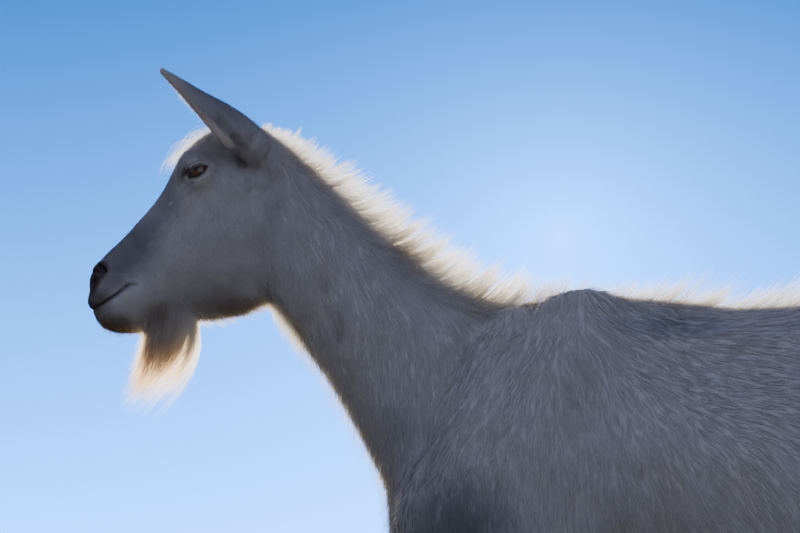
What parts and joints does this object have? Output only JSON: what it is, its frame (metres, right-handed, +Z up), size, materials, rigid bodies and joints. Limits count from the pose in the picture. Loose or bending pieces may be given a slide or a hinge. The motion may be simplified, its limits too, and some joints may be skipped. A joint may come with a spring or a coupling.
{
  "type": "polled white dairy goat, still life-size model",
  "caption": "Life-size standing white dairy goat without horns, with erect ears, long beard and crest of hair, as a still museum model.",
  "frame": {"origin": "on the floor, under the middle of the goat's bounding box", "axes": "-Y the way the goat looks, +X towards the goat's left side, +Z up"},
  "size_m": [0.3492, 1.1597, 1.018],
  "materials": {
    "white_coat": "short white hair lying flat, faintly cream",
    "long_hair": "long fine white to cream hair",
    "hoof_horn": "matt grey-brown horn",
    "amber_eye": "wet glossy amber eye with a level dark pupil",
    "udder_skin": "thin pink skin under sparse hair",
    "dark_skin": "dark moist skin of nostrils and lips"
  },
  "bodies": {
    "root": {"beard": "long_hair", "claw_front_left_inner": "hoof_horn", "claw_front_left_outer": "hoof_horn", "claw_front_right_inner": "hoof_horn", "claw_front_right_outer": "hoof_horn", "claw_hind_left_inner": "hoof_horn", "claw_hind_left_outer": "hoof_horn", "claw_hind_right_inner": "hoof_horn", "claw_hind_right_outer": "hoof_horn", "dewclaw_front_left_inner": "hoof_horn", "dewclaw_front_left_outer": "hoof_horn", "dewclaw_front_right_inner": "hoof_horn", "dewclaw_front_right_outer": "hoof_horn", "dewclaw_hind_left_inner": "hoof_horn", "dewclaw_hind_left_outer": "hoof_horn", "dewclaw_hind_right_inner": "hoof_horn", "dewclaw_hind_right_outer": "hoof_horn", "ear_left": "white_coat", "ear_right": "white_coat", "eye_left": "amber_eye", "eye_right": "amber_eye", "forelock": "long_hair", "head": "white_coat", "leg_front_left": "white_coat", "leg_front_right": "white_coat", "leg_hind_left": "white_coat", "leg_hind_right": "white_coat", "mane": "long_hair", "neck": "white_coat", "tail": "long_hair", "trunk": "white_coat", "udder": "udder_skin"}
  },
  "joints": []
}
